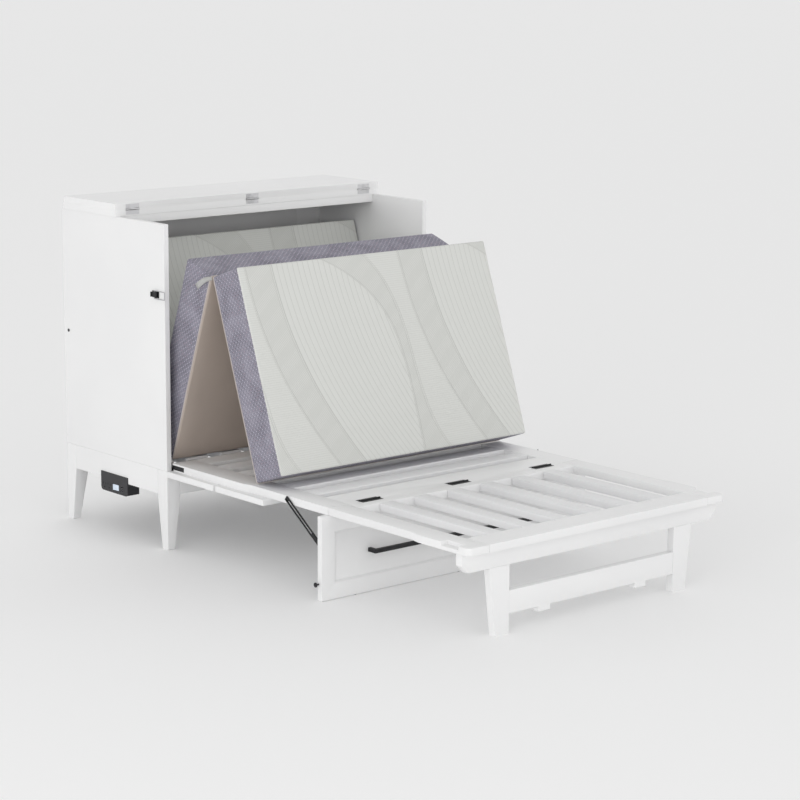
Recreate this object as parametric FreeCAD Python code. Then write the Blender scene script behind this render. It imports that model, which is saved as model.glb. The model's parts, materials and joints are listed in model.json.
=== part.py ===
import FreeCAD, Part
import math
import os

# Cabinet wall bed with a folding three-part deck, shown open with its mattress standing on the deck.
# Millimetres. While the parts are made, x = 0 is the middle, y = 0 is the front plane of the side
# panels (the foot of the bed is towards -y) and z = 0 is the floor. save() moves every part along y
# so that the origin is under the middle of the whole object.

# ---- driving dimensions -------------------------------------------------------------------------
cabinetWidth = 1052.0
cabinetDepth = 560.0
sideTop = 1012.0
baseTop = 250.0          # seam between the base frame and the side panels, and underside of the deck
baseRailHeight = 78.0
boardThick = 18.0        # side panels
railProud = 2.0          # rails of the base frame, inside the side panels' inner faces
legWidth = 50.0
legDepth = 52.0
legTipWidth = 28.0
legTipDepth = 30.0

backThick = 12.0
backInset = 6.0
cleatHeight = 122.0
cleatProud = 5.0
wallScrewSpacing = 812.8
wallScrewRadius = 2.5

lidThick = 20.0
lidOverhang = 4.0        # past each side panel
lidSplit = 252.0         # y of the lid's hinge line
lidFrontReach = 288.0
lidRearEnd = 545.0
lidEdgeGap = 0.4         # each lid edge to the hinge line
lidRailDepth = 18.0
lidRailHeight = 26.0
lidRailSetback = 2.0
lidHingeLong = 50.0
lidHingeReach = 465.0    # middle of the cabinet to the outer hinges
lidLeafHigh = 16.0
capBack = 26.0           # screw cap to the back edge of the side panel
capHeight = 621.0
capRadius = 5.0
capProud = 1.5

deckThick = 23.0
deckSideGap = 3.0        # deck edge to side panel
pivotY = 2.0
pivotRise = 3.0          # above the underside of the deck
deckTopGap = 5.0         # end of the folded deck to the top of the side panels
foldGap = 1.6            # between the two sections when folded
seamGap = 0.5
footLength = 605.5

headDeckFront = 26.0
headSlatWidth = 80.0
headSlatGap = 50.0
headSlatSide = 3         # full slats on each side of the middle one
bearerWidth = 40.0

middleRailWidth = 82.0
middleHeadBoard = 71.0
middleEndBoard = 103.0
middleSlatWidth = 64.0
middleSlatCount = 5
recessDepth = 7.0        # the deck is narrower here, for the stays
recessLong = 367.0       # from the seam, on both sections
recessRun = 25.0

footRailWidth = 76.0
footHeadBoard = 51.5
footEndBoard = 90.0
footSlatWidth = 49.0
footSlatCount = 3
footRecessRun = 30.0
earRadius = 18.0
holdLength = 70.0
holdDepth = 25.0
holdHeight = 11.0
holdFromEnd = 42.0

frontThick = 19.0
frontReveal = 1.0        # fronts to the side panels' front plane, closed
frontSeam = 10.0         # between the lower and the middle front
supportSeam = 6.5        # between the middle front and the folded support panel
frontBorder = 48.0
frontRecess = 6.0
handleHalf = 350.0
handleBar = 12.0
handleStand = 16.0

supportSetback = 12.0    # hinge line of the support panel to the end of the section
supportGap = 0.3
glideHeight = 1.5
glideRadius = 8.0
glideReach = 400.0

apronInset = 5.0         # inside the widest part of the deck
apronThick = 24.0
apronHeight = 55.0
apronSetback = 32.0
apronChamfer = 22.0
legGap = 0.3
footLegInner = 325.0
footLegOuter = 398.0
footLegTip = 376.0
stretcherLow = 55.0
stretcherHigh = 121.0
stretcherTabX = 190.0
stretcherTabWidth = 45.0
stretcherTabDrop = 15.0

barrelRadius = 3.0
hingePinRadius = 1.6
runningFit = 0.05
knuckleGap = 0.5
barrelRoom = 0.6
leafThick = 2.0
leafStart = 0.4          # leaf edge to the hinge line
seamHingeReach = 343.0
seamHingeLong = 78.0
seamLeafWide = 18.0
supportHingeReach = 330.0
supportHingeLong = 60.0
supportLeafWide = 18.0
legHingeReach = 358.0
legHingeLong = 44.0
legLeafHigh = 16.0
cutPast = 1.0            # a cutting shape runs this far past the face it opens

pivotPinRadius = 3.5
pivotPlateThick = 2.0
eyeThick = 3.0
eyeRadius = 7.0
eyeRoom = 0.5            # round the eye in the leg
eyeGap = 0.3             # round the eye in the deck
eyeNotchPast = 6.0       # notch in the leg past the eye
eyeArmLow = 4.0
eyeArmHigh = 18.0
plateLong = 60.0
plateHigh = 25.0
pivotPinEnd = 8.0
pinGap = 0.7

stayThick = 4.0
stayHalf = 7.0
stayPinY = 10.0          # pin of the stay in front of the support panel's hinge line
stayPinDrop = 100.0
stayBoltBack = 168.0     # bolt to the support panel's hinge line
stayBoltRise = 12.0      # above the underside of the deck
stayPinRadius = 3.0
slotHalf = 4.0
slotShort = 60.0         # pin to the near end of the slot
slotEnd = 6.0            # far end of the slot to the end of the stay
stayInset = 1.0          # outer face of the stay to the widest part of the deck
staySide = 0.6
stayBoltLong = 1.5
stayBoltPlay = 0.5
bracketThick = 2.4
bracketHalf = 10.0
bracketReach = 7.0       # past the pin
studPast = 0.5

knobDrop = 200.0         # catch knob below the support panel's hinge line
knobSet = 5.0
knobStem = 2.5
knobLong = 10.0
knobHead = 3.0
knobRadius = 7.0

latchPlateThick = 2.0
latchPlateFront = 28.0
latchPlateBack = 62.0
latchEar = 2.0
latchEarHalf = 4.5
latchEarOut = 3.0        # past the pin
latchPinRadius = 1.5
latchArm = 3.2           # radius of the lever's barrel, and its outer face
latchArmIn = 0.5
latchLip = 2.0
latchLipLong = 5.0
latchPlay = 0.5
latchHalf = 10.0
latchPivotY = 36.0
latchPivotOut = 5.5
latchLeverEnd = 60.0
bailPivotY = 44.0
bailPivotOut = 7.0
bailWire = 1.2
bailBend = 3.0
bailHalf = 12.0
bailFoot = 2.5           # end of the wire to the middle of the latch
bailGap = 0.3

chargerFront = 212.0
chargerLong = 148.0
chargerDrop = 41.0       # below the side rail
chargerLap = 20.0        # up the side rail
chargerPlate = 3.0
chargerDeep = 44.0
chargerWall = 2.5
chargerCorner = 12.0
chargerTop = 2.0         # housing to the side rail
chargerInset = 4.0       # housing to the ends of the plate
chargerLift = 2.0        # housing above the plate's lower edge
rockerFromFront = 64.0
rockerLong = 29.0
rockerHigh = 18.0
rockerGap = 0.5
rockerProud = 1.2
rockerTilt = 7.0
rockerSunk = 0.6         # rim below the plate's face
rockerDish = 0.2         # middle below the plate's face
rockerDeep = 6.0
rockerTaper = 4.0
rockerPlay = 0.5
usbFromFront = 31.5
usbWide = 13.2
usbHigh = 5.6
usbPitch = 11.0
usbWall = 0.5
usbSunk = 0.4
usbDeep = 16.0           # plate to the circuit board
usbMouth = 9.0
boardDeep = 1.6
outletFromFront = (103.0, 129.0)
outletSlotSide = 6.3
outletSlotHalf = 1.0
outletSlotHigh = 7.0
outletEarthDrop = 8.0
outletEarthRadius = 2.4
inletHalf = 9.0
inletHigh = 5.0
inletDeep = 12.0
inletProud = 1.5
inletWall = 2.0
inletSocket = 8.0

mattressWidth = 985.0
mattressPanel = 630.0
mattressThick = 135.0
mattressShift = 11.5
mattressRest = 1.0       # above the deck, at the edge it stands on
leanFoot = 19.4          # both panels of the tent, from upright
leanHead = 17.2
apexY = -180.0
mattressJoint = 1.0      # panel end to its fold line

# ---- values worked out from them ----------------------------------------------------------------
halfWidth = cabinetWidth / 2
railThick = boardThick + railProud
pivotZ = baseTop + pivotRise
sideInner = halfWidth - boardThick
baseLow = baseTop - baseRailHeight
railInner = halfWidth - railThick
legInner = halfWidth - legWidth
lidZ = sideTop + lidThick
lidHalf = halfWidth + lidOverhang
backFront = cabinetDepth - backInset - backThick
deckHalf = sideInner - deckSideGap
deckTop = baseTop + deckThick
deckRecess = deckHalf - recessDepth
middleLength = sideTop - deckTopGap - pivotZ - pivotY
seamY = -middleLength
seamZ = deckTop + foldGap / 2
footStart = seamY - seamGap
footEnd = footStart - footLength
supportY = seamY + supportSetback
supportLow = glideHeight
stayBoltY = -supportY - stayBoltBack
stayBoltZ = baseTop + stayBoltRise
recessStart = -seamY - recessLong
supportReach = baseTop - supportGap - supportLow
frontHeight = (-supportY - supportReach - supportGap - supportSeam - frontSeam - frontReveal) / 2
apronFront = footEnd + apronSetback
apronBack = apronFront + apronThick
apronHalf = deckHalf - apronInset
apronLow = baseTop - apronHeight
knobY = supportY - knobSet
knobZ = baseTop - knobDrop
closedKnobZ = pivotZ + pivotY - supportY - knobDrop
closedKnobY = pivotY - (pivotZ - baseTop) - knobSet
middleSlatGap = (middleLength - middleHeadBoard - middleEndBoard
                 - middleSlatCount * middleSlatWidth) / (middleSlatCount + 1)
chargerLow = baseLow - chargerDrop
chargerHigh = baseLow + chargerLap
stayOuter = deckHalf - stayInset
rockerY = chargerFront + rockerFromFront
usbY = chargerFront + usbFromFront
originY = (footEnd + cabinetDepth + cleatProud) / 2


# ---- shape helpers ------------------------------------------------------------------------------
def box(x0, x1, y0, y1, z0, z1):
    corner = FreeCAD.Vector(min(x0, x1), min(y0, y1), min(z0, z1))
    return Part.makeBox(abs(x1 - x0), abs(y1 - y0), abs(z1 - z0), corner)


def rod(axis, start, length, radius):
    return Part.makeCylinder(radius, length, FreeCAD.Vector(*start), FreeCAD.Vector(*axis))


def rodX(x0, x1, y, z, radius):
    return rod((1, 0, 0), (min(x0, x1), y, z), abs(x1 - x0), radius)


def prism(points, direction):
    face = Part.Face(Part.makePolygon([FreeCAD.Vector(*p) for p in points + points[:1]]))
    return face.extrude(FreeCAD.Vector(*direction))


def prismX(points, x0, x1):
    return prism([(x0, y, z) for y, z in points], (x1 - x0, 0, 0))


def prismY(points, y0, y1):
    return prism([(x, y0, z) for x, z in points], (0, y1 - y0, 0))


def prismZ(points, z0, z1):
    return prism([(x, y, z0) for x, y in points], (0, 0, z1 - z0))


def mirrored(shape):
    return shape.mirror(FreeCAD.Vector(0, 0, 0), FreeCAD.Vector(1, 0, 0))


def across(reach):
    return (-reach, 0.0, reach)


def both(shape):
    return [shape, mirrored(shape)]


def cut(shape, tools):
    for tool in tools:
        shape = shape.cut(tool)
    return shape


def join(shapes):
    whole = shapes[0]
    for shape in shapes[1:]:
        whole = whole.fuse(shape)
    return whole.removeSplitter()


def turned(shape, centre, axis, degrees):
    copy = shape.copy()
    copy.rotate(FreeCAD.Vector(*centre), FreeCAD.Vector(*axis), degrees)
    return copy


def bentWire(points, bend, radius):
    # Straight runs joined by arcs of one bend radius at right-angled corners.
    edges = []
    start = points[0]
    for before, corner, after in zip(points, points[1:], points[2:]):
        into = (corner - before).normalize()
        out = (after - corner).normalize()
        first = corner - into * bend
        last = corner + out * bend
        middle = corner + (out - into) * bend * (1 - math.sqrt(0.5))
        edges.append(Part.LineSegment(start, first).toShape())
        edges.append(Part.Arc(first, middle, last).toShape())
        start = last
    edges.append(Part.LineSegment(start, points[-1]).toShape())
    ring = Part.Circle(points[0], (points[1] - points[0]), radius).toShape()
    return Part.Wire(edges).makePipeShell([Part.Wire([ring])], True, False)


def save(name, shapes):
    solids = []
    for shape in shapes:
        solids.extend(shape.Solids)
    for solid in solids:
        if not solid.isValid() or solid.Volume <= 0:
            print("not a sound solid:", name, solid.Volume)
    whole = solids[0].copy() if len(solids) == 1 else Part.makeCompound(solids)
    whole.translate(FreeCAD.Vector(0, -originY, 0))
    whole.exportStep("parts/" + name + ".step")
    print(name, len(solids))


# ---- hinges -------------------------------------------------------------------------------------
# A hinge lies along X on the line (y, z). Its fixed leaf has the two outer knuckles and holds the
# pin, and its moving leaf has the middle knuckle.
def hinge(centre, length, y, z, fixedLeaf, movingLeaf):
    low = centre - length / 2
    third = length / 3
    outer = [(low, low + third), (low + 2 * third, low + length)]
    middle = (low + third + knuckleGap, low + 2 * third - knuckleGap)
    clear = barrelRadius + barrelRoom

    def leaf(points, spans, others, bore):
        shape = prismX(points, low, low + length)
        for a, b in others:
            shape = shape.cut(rodX(a - knuckleGap, b + knuckleGap, y, z, clear))
        for a, b in spans:
            shape = shape.fuse(rodX(a, b, y, z, barrelRadius))
        return shape.cut(rodX(low - cutPast, low + length + cutPast, y, z, bore)).removeSplitter()

    fixed = leaf(fixedLeaf, outer, [middle], hingePinRadius)
    moving = leaf(movingLeaf, [middle], outer, hingePinRadius + runningFit)
    pin = rodX(low, low + length, y, z, hingePinRadius)
    room = rodX(low - knuckleGap, low + length + knuckleGap, y, z, clear)
    return fixed, moving, pin, room


def leafBox(y0, y1, z0, z1):
    return [(y0, z0), (y1, z0), (y1, z1), (y0, z1)]


def span(points, centre, length):
    return prismX(points, centre - length / 2, centre + length / 2)


# ---- base frame ---------------------------------------------------------------------------------
def cabinetLeg(front):
    edge = 0.0 if front else cabinetDepth
    inward = 1 if front else -1
    top = [(-halfWidth, edge), (-legInner, edge), (-legInner, edge + inward * legDepth),
           (-halfWidth, edge + inward * legDepth)]
    tipX = -halfWidth + legTipWidth
    tip = [(-halfWidth, edge), (tipX, edge), (tipX, edge + inward * legTipDepth),
           (-halfWidth, edge + inward * legTipDepth)]
    low = Part.makePolygon([FreeCAD.Vector(x, y, 0) for x, y in tip + tip[:1]])
    high = Part.makePolygon([FreeCAD.Vector(x, y, baseLow) for x, y in top + top[:1]])
    leg = Part.makeLoft([low, high], True, True)
    square = box(-halfWidth, -legInner, edge, edge + inward * legDepth, baseLow, baseTop)
    leg = leg.fuse(square).removeSplitter()
    if front:
        room = eyeRadius + eyeRoom
        notch = box(-sideInner, -deckHalf + eyeThick + eyeNotchPast, -cutPast, pivotY + room + cutPast,
                    pivotZ - room, baseTop + cutPast)
        leg = leg.cut(notch)
    return leg


def baseFrame():
    save("cabinet_legs", both(cabinetLeg(True)) + both(cabinetLeg(False)))
    side = box(-halfWidth, -railInner, legDepth, cabinetDepth - legDepth, baseLow, baseTop)
    save("base_side_rails", both(side))
    front = box(-legInner, legInner, 0, railThick, baseLow, baseTop)
    rear = box(-legInner, legInner, cabinetDepth - railThick, cabinetDepth, baseLow, baseTop)
    save("base_cross_rails", [front, rear])


# ---- carcase ------------------------------------------------------------------------------------
def carcase():
    panel = box(-halfWidth, -sideInner, 0, cabinetDepth, baseTop, sideTop)
    save("side_panel_left", [panel])
    save("side_panel_right", [mirrored(panel)])
    backRear = backFront + backThick
    cleatLow = sideTop - cleatHeight
    cleatMid = (cleatLow + sideTop) / 2
    holes = [rod((0, 1, 0), (side * wallScrewSpacing / 2, backFront - cutPast, cleatMid),
                 backThick + backInset + cleatProud + 2 * cutPast, wallScrewRadius) for side in (-1, 1)]
    back = box(-sideInner, sideInner, backFront, backRear, baseTop, sideTop)
    save("back_panel", [cut(back, holes)])
    cleat = box(-sideInner, sideInner, backRear, cabinetDepth + cleatProud, cleatLow, sideTop)
    save("wall_cleat", [cut(cleat, holes)])
    cap = rodX(-halfWidth - capProud, -halfWidth, cabinetDepth - capBack, capHeight, capRadius)
    save("side_caps", both(cap))
    setback = lidSplit + lidRailSetback
    rail = box(-sideInner, sideInner, setback, setback + lidRailDepth, sideTop - lidRailHeight, sideTop)
    save("lid_rail", [rail])


def lids():
    start = lidSplit + lidEdgeGap
    low = leafBox(start, start + leafThick, lidZ - leafStart - lidLeafHigh, lidZ - leafStart)
    high = leafBox(start, start + leafThick, lidZ + leafStart, lidZ + leafStart + lidLeafHigh)
    rear = box(-lidHalf, lidHalf, start, lidRearEnd, sideTop, lidZ)
    front = box(-lidHalf, lidHalf, start, lidSplit + lidFrontReach, lidZ, lidZ + lidThick)
    fixed, moving, pins = [], [], []
    for x in across(lidHingeReach):
        a, b, pin, room = hinge(x, lidHingeLong, lidSplit, lidZ, low, high)
        fixed.append(a)
        moving.append(b)
        pins.append(pin)
        rear = cut(rear, [span(low, x, lidHingeLong), room])
        front = cut(front, [span(high, x, lidHingeLong), room])
    save("lid_rear", [rear])
    save("lid_front", [front])
    save("lid_hinge_lower", fixed)
    save("lid_hinge_upper", moving)
    save("lid_hinge_pins", pins)


def headDeck():
    pitch = headSlatWidth + headSlatGap
    slats = []
    for i in range(-headSlatSide, headSlatSide + 1):
        middle = i * pitch
        slats.append(box(middle - headSlatWidth / 2, middle + headSlatWidth / 2,
                         headDeckFront, cabinetDepth - railThick, baseTop, deckTop))
    edge = headSlatSide * pitch + headSlatWidth / 2 + headSlatGap
    slats.extend(both(box(-railInner, -edge, headDeckFront, cabinetDepth - railThick, baseTop, deckTop)))
    slats = [slat.cut(box(-halfWidth, halfWidth, backFront, cabinetDepth, baseTop, sideTop))
             for slat in slats]
    save("head_slats", slats)
    low = baseTop - deckThick
    rearStart = cabinetDepth - railThick - bearerWidth
    middle = cabinetDepth / 2 - bearerWidth / 2
    bearers = [box(-legInner, legInner, railThick, railThick + bearerWidth, low, baseTop),
               box(-railInner, railInner, middle, middle + bearerWidth, low, baseTop),
               box(-legInner, legInner, rearStart, rearStart + bearerWidth, low, baseTop)]
    save("head_bearers", bearers)


# ---- deck pivots --------------------------------------------------------------------------------
def pivots():
    outer = -sideInner
    plate = box(outer, outer + pivotPlateThick, 0, plateLong, baseTop, baseTop + plateHigh)
    pin = rodX(outer, -deckHalf + pivotPinEnd, pivotY, pivotZ, pivotPinRadius)
    save("pivot_plates", both(join([plate, pin])))
    arm = box(-deckHalf, -deckHalf + eyeThick, -plateLong, 0, baseTop + eyeArmLow, baseTop + eyeArmHigh)
    eye = rodX(-deckHalf, -deckHalf + eyeThick, pivotY, pivotZ, eyeRadius)
    bore = rodX(-deckHalf - cutPast, -deckHalf + eyeThick + cutPast, pivotY, pivotZ,
                pivotPinRadius + runningFit)
    save("pivot_eyes", both(join([arm, eye]).cut(bore)))


def pivotRoom():
    arm = box(-deckHalf - cutPast, -deckHalf + eyeThick, -plateLong, cutPast, baseTop + eyeArmLow,
              baseTop + eyeArmHigh)
    eye = rodX(-deckHalf - cutPast, -deckHalf + eyeThick + eyeGap, pivotY, pivotZ, eyeRadius + eyeGap)
    pin = rodX(-deckHalf, -deckHalf + pivotPinEnd + cutPast, pivotY, pivotZ, pivotPinRadius + pinGap)
    return both(arm) + both(eye) + both(pin)


# ---- middle section of the deck -----------------------------------------------------------------
def seamHinges():
    near = leafBox(seamY + leafStart, seamY + seamLeafWide, deckTop - leafThick, deckTop)
    far = leafBox(seamY - seamLeafWide, seamY - leafStart, deckTop - leafThick, deckTop)
    sets = [hinge(x, seamHingeLong, seamY, seamZ, near, far) for x in across(seamHingeReach)]
    nearCuts = [span(near, x, seamHingeLong) for x in across(seamHingeReach)]
    farCuts = [span(far, x, seamHingeLong) for x in across(seamHingeReach)]
    rooms = [s[3] for s in sets]
    return sets, nearCuts + rooms, farCuts + rooms


def supportHinges():
    near = leafBox(supportY + leafStart, supportY + supportLeafWide, baseTop, baseTop + leafThick)
    face = supportY - supportGap
    far = leafBox(face - leafThick, face, baseTop - supportLeafWide, baseTop - leafStart)
    sets = [hinge(x, supportHingeLong, supportY, baseTop, near, far) for x in across(supportHingeReach)]
    nearCuts = [span(near, x, supportHingeLong) for x in across(supportHingeReach)]
    farCuts = [span(far, x, supportHingeLong) for x in across(supportHingeReach)]
    rooms = [s[3] for s in sets]
    return sets, nearCuts + rooms, farCuts + rooms


def middleSection():
    seam, seamCuts = seamHinges()[:2]
    support, supportCuts = supportHinges()[:2]
    inner = deckHalf - middleRailWidth
    outline = [(-deckHalf, 0), (-inner, 0), (-inner, seamY), (-deckRecess, seamY),
               (-deckRecess, -recessStart), (-deckHalf, -recessStart + recessRun)]
    rail = prismZ(outline, baseTop, deckTop)
    save("middle_rails", [cut(r, pivotRoom()) for r in both(rail)])
    save("middle_head_board", [box(-inner, inner, -middleHeadBoard, 0, baseTop, deckTop)])
    slats = []
    for i in range(middleSlatCount):
        start = -middleHeadBoard - middleSlatGap - i * (middleSlatWidth + middleSlatGap)
        slats.append(box(-inner, inner, start - middleSlatWidth, start, baseTop, deckTop))
    save("middle_slats", slats)
    board = box(-inner, inner, seamY, seamY + middleEndBoard, baseTop, deckTop)
    save("middle_end_board", [cut(board, seamCuts + supportCuts)])
    save("seam_leaves_middle", [s[0] for s in seam])
    save("seam_hinge_pins", [s[2] for s in seam])
    save("support_leaves_fixed", [s[0] for s in support] + [s[2] for s in support])
    bolt = rodX(-deckRecess - stayBoltLong, -deckRecess, -stayBoltY, stayBoltZ, slotHalf - stayBoltPlay)
    save("stay_bolts", both(bolt))


# A front is a board with a mitred frame: a sunk field with sloping edges on its outer face.
def field(x0, x1, a0, a1):
    outer = [(x0, a0), (x1, a0), (x1, a1), (x0, a1)]
    slope = frontRecess
    inner = [(x0 + slope, a0 + slope), (x1 - slope, a0 + slope), (x1 - slope, a1 - slope),
             (x0 + slope, a1 - slope)]
    return outer, inner


def recessed(board, y0, y1, faceZ):
    outer, inner = field(-halfWidth + frontBorder, halfWidth - frontBorder, y0 + frontBorder,
                         y1 - frontBorder)
    low = Part.makePolygon([FreeCAD.Vector(x, y, faceZ) for x, y in outer + outer[:1]])
    high = Part.makePolygon([FreeCAD.Vector(x, y, faceZ + frontRecess) for x, y in inner + inner[:1]])
    return board.cut(Part.makeLoft([low, high], True, True))


def handle(middle, faceZ):
    depth = handleStand + handleBar
    bar = box(-handleHalf, handleHalf, middle - handleBar / 2, middle + handleBar / 2,
              faceZ - depth, faceZ - handleStand)
    foot = box(-handleHalf, -handleHalf + handleBar, middle - handleBar / 2, middle + handleBar / 2,
               faceZ - depth, faceZ + frontRecess)
    return join([bar] + both(foot))


def fronts():
    faceZ = baseTop - frontThick
    handles = []
    for i, name in enumerate(("drawer_front_lower", "drawer_front_middle")):
        y1 = -frontReveal - i * (frontHeight + frontSeam)
        y0 = y1 - frontHeight
        board = box(-halfWidth, halfWidth, y0, y1, faceZ, baseTop)
        board = recessed(board, y0, y1, faceZ)
        save(name, [cut(board, pivotRoom()) if i == 0 else board])
        handles.append(handle((y0 + y1) / 2, faceZ))
    save("front_handles", handles)


# ---- support panel and its stays ----------------------------------------------------------------
def supportPanel():
    # Drawn folded flat under the deck, then turned down about its hinge line.
    sets, panelCuts = supportHinges()[::2]
    high = baseTop - supportGap
    faceZ = high - frontThick
    y0 = supportY + supportGap
    y1 = y0 + supportReach
    board = recessed(box(-halfWidth, halfWidth, y0, y1, faceZ, high), y0, y1, faceZ)
    pull = handle((y0 + y1) / 2, faceZ)
    centre = (0, supportY, baseTop)
    board = turned(board, centre, (1, 0, 0), -90)
    save("support_panel", [cut(board, panelCuts)])
    save("support_handle", [turned(pull, centre, (1, 0, 0), -90)])
    save("support_leaves_moving", [s[1] for s in sets])
    middle = supportY - supportGap - frontThick / 2
    glides = [rod((0, 0, 1), (x, middle, 0), glideHeight, glideRadius) for x in across(glideReach)]
    save("support_glides", glides)
    stem = rodX(-halfWidth - knobLong, -halfWidth, knobY, knobZ, knobStem)
    head = rodX(-halfWidth - knobLong - knobHead, -halfWidth - knobLong, knobY, knobZ, knobRadius)
    save("catch_knobs", both(join([stem, head])))


def stays():
    pinY = supportY + stayPinY
    pinZ = baseTop - stayPinDrop
    reach = math.hypot(-stayBoltY - pinY, stayBoltZ - pinZ)
    lean = math.degrees(math.atan2(stayBoltZ - pinZ, -stayBoltY - pinY))
    x0 = -stayOuter
    x1 = x0 + stayThick
    end = reach + slotHalf + slotEnd
    bar = box(x0, x1, pinY, pinY + end, pinZ - stayHalf, pinZ + stayHalf)
    bar = bar.fuse(rodX(x0, x1, pinY, pinZ, stayHalf))
    slot = box(x0 - cutPast, x1 + cutPast, pinY + slotShort, pinY + reach, pinZ - slotHalf, pinZ + slotHalf)
    ends = [rodX(x0 - cutPast, x1 + cutPast, pinY + d, pinZ, slotHalf) for d in (slotShort, reach)]
    bore = rodX(x0 - cutPast, x1 + cutPast, pinY, pinZ, stayPinRadius + runningFit)
    stay = cut(bar.removeSplitter(), [slot] + ends + [bore])
    stay = turned(stay, (0, pinY, pinZ), (1, 0, 0), lean)
    save("stay_left", [stay])
    save("stay_right", [mirrored(stay)])
    outer = x0 - staySide
    face = supportY - supportGap
    cheek = box(outer - bracketThick, outer, face, pinY + bracketReach, pinZ - bracketHalf,
                pinZ + bracketHalf)
    flange = box(outer - bracketThick, -deckRecess - cutPast, face, face + leafThick, pinZ - bracketHalf,
                 pinZ + bracketHalf)
    stud = rodX(outer, x1 + studPast, pinY, pinZ, stayPinRadius)
    save("stay_pins", both(join([cheek, flange, stud])))


# ---- foot section of the deck -------------------------------------------------------------------
def footSection():
    seam, seamCuts = seamHinges()[::2]
    inner = deckHalf - footRailWidth
    recessEnd = seamY - recessLong
    outline = [(-deckRecess, footStart), (-inner, footStart), (-inner, footEnd), (-deckHalf, footEnd),
               (-deckHalf, recessEnd - footRecessRun), (-deckRecess, recessEnd)]
    rail = prismZ(outline, baseTop, deckTop)
    corner = box(-deckHalf, -deckHalf + earRadius, footEnd, footEnd + earRadius, baseTop, deckTop)
    ear = rod((0, 0, 1), (-deckHalf + earRadius, footEnd + earRadius, baseTop), deckThick, earRadius)
    rail = rail.cut(corner.cut(ear))
    hold = box(-deckHalf - cutPast, -deckHalf + holdDepth, footEnd + holdFromEnd,
               footEnd + holdFromEnd + holdLength, deckTop - holdHeight, deckTop + cutPast)
    save("foot_rails", both(rail.cut(hold)))
    head = box(-inner, inner, footStart - footHeadBoard, footStart, baseTop, deckTop)
    tail = box(-inner, inner, footEnd, footEnd + footEndBoard, baseTop, deckTop)
    save("foot_cross_boards", [cut(head, seamCuts), tail])
    gap = (2 * inner - 2 * footSlatCount * footSlatWidth) / (2 * footSlatCount + 1)
    slats = []
    for i in range(2 * footSlatCount):
        start = -inner + gap + i * (footSlatWidth + gap)
        slats.append(box(start, start + footSlatWidth, footEnd + footEndBoard, footStart - footHeadBoard,
                         baseTop, deckTop))
    save("foot_slats", slats)
    save("seam_leaves_foot", [s[1] for s in seam])


def footLegs():
    up = leafBox(apronBack - leafThick, apronBack, apronLow + leafStart, apronLow + legLeafHigh)
    down = leafBox(apronBack - leafThick, apronBack, apronLow - legLeafHigh, apronLow - leafStart)
    sets = [hinge(x, legHingeLong, apronBack, apronLow, up, down) for x in (-legHingeReach, legHingeReach)]
    rooms = [s[3] for s in sets]
    c = apronChamfer
    outline = [(-apronHalf, baseTop), (-apronHalf, apronLow + c), (-apronHalf + c, apronLow),
               (apronHalf - c, apronLow), (apronHalf, apronLow + c), (apronHalf, baseTop)]
    apron = prismY(outline, apronFront, apronBack)
    upCuts = [span(up, x, legHingeLong) for x in (-legHingeReach, legHingeReach)]
    save("foot_apron", [cut(apron, upCuts + rooms)])
    save("leg_hinge_fixed", [s[0] for s in sets] + [s[2] for s in sets])
    save("leg_hinge_moving", [s[1] for s in sets])
    top = apronLow - legGap
    leg = prismY([(-footLegTip, 0), (-footLegInner, 0), (-footLegInner, top), (-footLegOuter, top)],
                 apronFront, apronBack)
    cuts = [span(down, x, legHingeLong) for x in (-legHingeReach, legHingeReach)] + rooms
    save("foot_legs", [cut(shape, cuts) for shape in both(leg)])
    bar = box(-footLegInner, footLegInner, apronFront, apronBack, stretcherLow, stretcherHigh)
    half = stretcherTabWidth / 2
    tab = box(-stretcherTabX - half, -stretcherTabX + half, apronFront, apronBack,
              stretcherLow - stretcherTabDrop, stretcherLow)
    save("foot_stretcher", [join([bar] + both(tab))])


# ---- side latches -------------------------------------------------------------------------------
def latches():
    wall = -halfWidth
    z = closedKnobZ
    plateOut = wall - latchPlateThick
    pivotX = wall - latchPivotOut
    bailX = wall - bailPivotOut
    plate = box(plateOut, wall, latchPlateFront, latchPlateBack, z - latchHalf, z + latchHalf)
    ears = [box(pivotX - latchEarOut, plateOut, latchPivotY - latchEarHalf, latchPivotY + latchEarHalf,
                z + side * latchHalf, z + side * (latchHalf - latchEar)) for side in (-1, 1)]
    pin = rod((0, 0, 1), (pivotX, latchPivotY, z - latchHalf), 2 * latchHalf, latchPinRadius)
    save("latch_bases", both(join([plate] + ears + [pin])))
    half = latchHalf - latchEar - latchPlay
    ring = rod((0, 0, 1), (pivotX, latchPivotY, z - half), 2 * half, latchArm)
    face = pivotX - latchArm
    arm = box(face, pivotX + latchArmIn, latchPivotY, latchLeverEnd, z - half, z + half)
    lip = box(face - latchLip, face, latchLeverEnd - latchLipLong, latchLeverEnd, z - half, z + half)
    start = z - half - cutPast
    long = 2 * (half + cutPast)
    lever = cut(join([ring, arm, lip]),
                [rod((0, 0, 1), (pivotX, latchPivotY, start), long, latchPinRadius + runningFit),
                 rod((0, 0, 1), (bailX, bailPivotY, start), long, bailWire + runningFit)])
    save("latch_lever_left", [lever])
    save("latch_lever_right", [mirrored(lever)])
    frontY = closedKnobY - knobStem - bailWire - bailGap
    route = [(bailPivotY, z + bailFoot), (bailPivotY, z + bailHalf), (frontY, z + bailHalf),
             (frontY, z - bailHalf), (bailPivotY, z - bailHalf), (bailPivotY, z - bailFoot)]
    bail = bentWire([FreeCAD.Vector(bailX, y, at) for y, at in route], bailBend, bailWire)
    save("latch_bail_left", [bail])
    save("latch_bail_right", [mirrored(bail)])


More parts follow.
